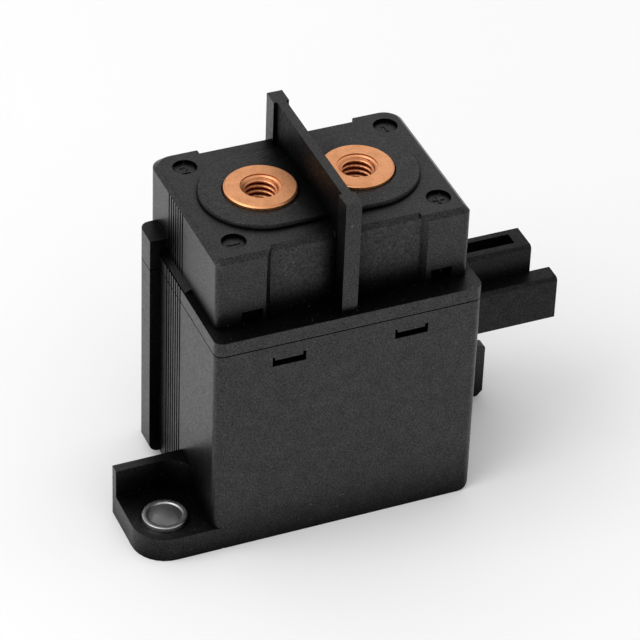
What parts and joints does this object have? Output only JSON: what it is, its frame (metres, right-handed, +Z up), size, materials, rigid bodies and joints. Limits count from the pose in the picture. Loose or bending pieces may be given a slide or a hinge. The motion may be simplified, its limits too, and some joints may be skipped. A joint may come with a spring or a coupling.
{
  "type": "high voltage dc contactor",
  "caption": "Sealed box-shaped high voltage DC contactor: black case with mounting feet, threaded copper terminals either side of a divider wall, and a side coil connector.",
  "frame": {"origin": "centre of the flat base face of the case", "axes": "+X towards the coil connector, +Y towards the back face, +Z up along the terminal axes"},
  "size_m": [0.0762, 0.0346, 0.0635],
  "materials": {
    "black_plastic": "fine moulded texture, satin matte",
    "copper": "bright turned copper",
    "bush_steel": "bright turned steel",
    "steel": "plated steel",
    "silver_alloy": "satin silver alloy",
    "pin_metal": "tinned brass",
    "enamelled_wire": "enamelled copper wire",
    "bobbin_plastic": "natural moulded plastic",
    "rubber": "matte rubber",
    "ceramic": "white alumina",
    "magnet": "dark plated magnet"
  },
  "bodies": {
    "root": {"case": "black_plastic", "cover": "black_plastic", "coil_connector": "black_plastic", "foot_bush_front": "bush_steel", "foot_bush_back": "bush_steel", "coil_pin_front": "pin_metal", "coil_pin_back": "pin_metal", "coil_lead_front": "enamelled_wire", "coil_lead_back": "enamelled_wire", "terminal_left": "copper", "terminal_right": "copper", "fixed_contact_left": "silver_alloy", "fixed_contact_right": "silver_alloy", "return_spring": "steel", "fixed_core": "steel", "guide_sleeve": "steel", "buffer_pad": "rubber", "bobbin": "bobbin_plastic", "coil_winding": "enamelled_wire", "yoke_frame": "steel", "yoke_top_plate": "steel", "insulating_plate": "bobbin_plastic", "seal_frame": "steel", "arc_chamber": "ceramic", "magnet_left": "magnet", "magnet_right": "magnet", "magnet_bracket": "steel"},
    "bridge": {"contact_bridge": "copper", "moving_contact_left": "silver_alloy", "moving_contact_right": "silver_alloy", "contact_spring": "steel"},
    "armature": {"plunger": "steel", "shaft": "steel", "spring_seat": "steel", "retaining_clip": "steel"}
  },
  "joints": [
    {"name": "contact_close", "type": "slide", "parent": "root", "child": "bridge", "axis": [0, 0, 1], "range_m": [0, 0.0015], "stiffness_N_per_m": 1500, "springref_m": -0.002, "deforming": ["return_spring"]},
    {"name": "overtravel", "type": "slide", "parent": "bridge", "child": "armature", "axis": [0, 0, 1], "range_m": [0, 0.0005], "stiffness_N_per_m": 6000, "springref_m": -0.001, "deforming": ["contact_spring"]}
  ]
}
